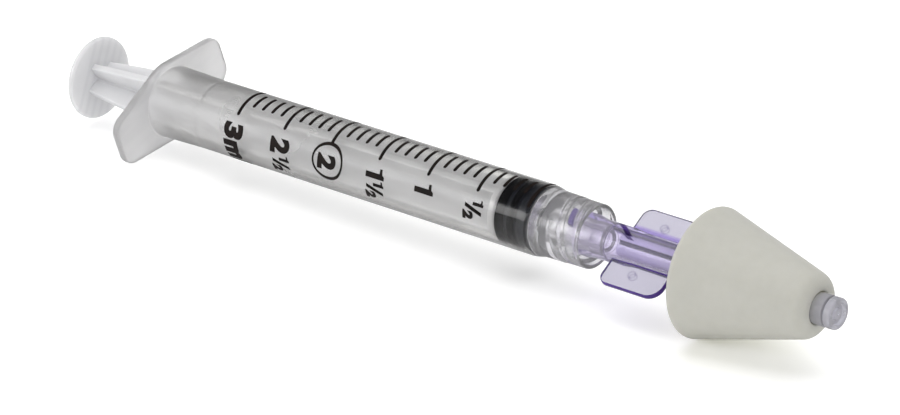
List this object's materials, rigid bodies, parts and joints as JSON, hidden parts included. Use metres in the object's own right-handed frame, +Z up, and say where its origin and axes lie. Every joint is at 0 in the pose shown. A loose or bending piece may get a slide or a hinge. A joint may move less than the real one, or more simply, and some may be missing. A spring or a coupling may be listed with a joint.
{
  "type": "luer-lock syringe with nasal atomizer",
  "caption": "Slim clear syringe with a rubber-tipped plunger and finger flange, screwed to a winged spray tube with a soft conical nose plug.",
  "frame": {"origin": "under the middle of the length, on the surface the part lies on", "axes": "+X along the barrel from the thumb rest to the spray nozzle, +Z up"},
  "size_m": [0.1306, 0.0228, 0.0178],
  "materials": {
    "clear_barrel": "clear polypropylene with a slight haze",
    "milky_rod": "translucent natural polypropylene",
    "black_rubber": "smooth siliconed rubber",
    "violet_clear": "clear violet-tinted plastic, polished",
    "violet_core": "clear violet-tinted plastic",
    "soft_white": "matte soft elastomer"
  },
  "bodies": {
    "barrel": {"syringe_barrel": "clear_barrel"},
    "stopper": {"rubber_stopper": "black_rubber"},
    "plunger": {"plunger_rod": "milky_rod"},
    "core": {"swirl_core": "violet_core"},
    "atomizer": {"atomizer_body": "violet_clear", "nozzle_tip": "violet_clear", "nose_plug": "soft_white"}
  },
  "joints": [
    {"name": "plunger_draw", "type": "slide", "parent": "barrel", "child": "stopper", "axis": [-1, 0, 0], "range_m": [0, 0.0532]},
    {"name": "plunger_spin", "type": "hinge", "parent": "stopper", "child": "plunger", "pos_m": [0.014, 0, 0.0089], "axis": [1, 0, 0], "continuous": true},
    {"name": "luer_advance", "type": "slide", "parent": "barrel", "child": "core", "axis": [1, 0, 0], "range_m": [0, 0.005]},
    {"name": "luer_twist", "type": "hinge", "parent": "core", "child": "atomizer", "pos_m": [0.02375, 0, 0.0089], "axis": [1, 0, 0], "range_deg": [0, 360]}
  ],
  "couplings": [
    {"joint": "luer_advance", "follows": "luer_twist", "m_per_rad": 0.00079577}
  ]
}
